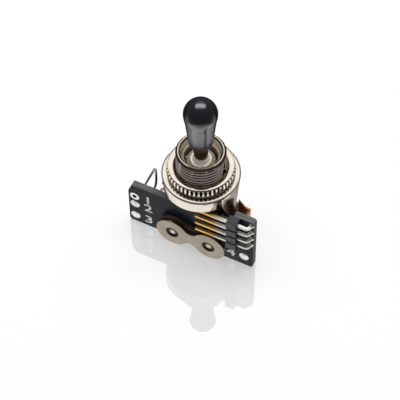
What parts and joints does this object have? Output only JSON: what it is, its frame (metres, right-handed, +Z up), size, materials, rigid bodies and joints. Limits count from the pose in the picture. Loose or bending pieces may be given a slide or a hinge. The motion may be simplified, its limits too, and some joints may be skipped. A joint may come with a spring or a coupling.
{
  "type": "guitar pickup selector switch",
  "caption": "Three-position toggle selector with a threaded bushing, knurled nut, open frame, stacked leaf contacts and a clamped circuit board with a plug header.",
  "frame": {"origin": "on the toggle's axis, on the face of the frame that seats against the panel", "axes": "+Z up the toggle's axis towards its tip, +X along the circuit board towards the plug header, +Y from the circuit board towards the rear clamping plate"},
  "size_m": [0.0334, 0.0186, 0.047],
  "materials": {
    "frame_nickel": "nickel plated, bright",
    "bright_nickel": "nickel plated and polished",
    "plate_nickel": "nickel plated, satin",
    "lever_steel": "nickel plated, polished",
    "tip_black": "glossy",
    "sleeve_nylon": "moulded, satin",
    "tube_clear": "drawn tube, satin",
    "fibre_dark": "vulcanised fibre, matte",
    "spring_bronze": "rolled phosphor bronze",
    "contact_silver": "polished silver",
    "board_black": "black solder mask on glass laminate",
    "header_black": "moulded, satin",
    "pin_gold": "gold plated",
    "solder": "bright solder",
    "tinned_wire": "tinned"
  },
  "bodies": {
    "switch_body": {"frame": "frame_nickel", "bushing": "bright_nickel", "panel_washer": "bright_nickel", "pivot_pin": "lever_steel", "clamp_plate_front": "plate_nickel", "clamp_plate_rear": "plate_nickel", "board_insulator": "fibre_dark", "circuit_board": "board_black", "header_body": "header_black", "header_solder": "solder", "pad_solder": "solder", "link_wire": "tinned_wire", "clamp_screw_left": "plate_nickel", "clamp_screw_right": "plate_nickel", "insulating_tube_left": "tube_clear", "insulating_tube_right": "tube_clear", "header_pin_1": "pin_gold", "header_pin_2": "pin_gold", "header_pin_3": "pin_gold", "header_pin_4": "pin_gold", "insulator_front_inner": "fibre_dark", "insulator_front_middle": "fibre_dark", "insulator_front_outer": "fibre_dark", "insulator_rear_inner": "fibre_dark", "insulator_rear_middle": "fibre_dark", "insulator_rear_outer": "fibre_dark", "leaf_front_short": "spring_bronze", "leaf_front_long": "spring_bronze", "leaf_rear_short": "spring_bronze", "leaf_rear_long": "spring_bronze", "contact_front_short": "contact_silver", "contact_front_long": "contact_silver", "contact_rear_short": "contact_silver", "contact_rear_long": "contact_silver"},
    "lever": {"lever": "lever_steel", "actuator_sleeve": "sleeve_nylon", "lever_tip": "tip_black"},
    "nut": {"knurled_nut": "bright_nickel"}
  },
  "joints": [
    {"name": "lever_pivot", "type": "hinge", "parent": "switch_body", "child": "lever", "pos_m": [0, 0, 0.00345], "axis": [1, 0, 0], "range_deg": [-10, 10], "deforming": ["leaf_front_long", "leaf_rear_long", "contact_front_long", "contact_rear_long"]},
    {"name": "nut_travel", "type": "slide", "parent": "switch_body", "child": "nut", "axis": [0, 0, 1], "range_m": [0, 0.0043]}
  ]
}
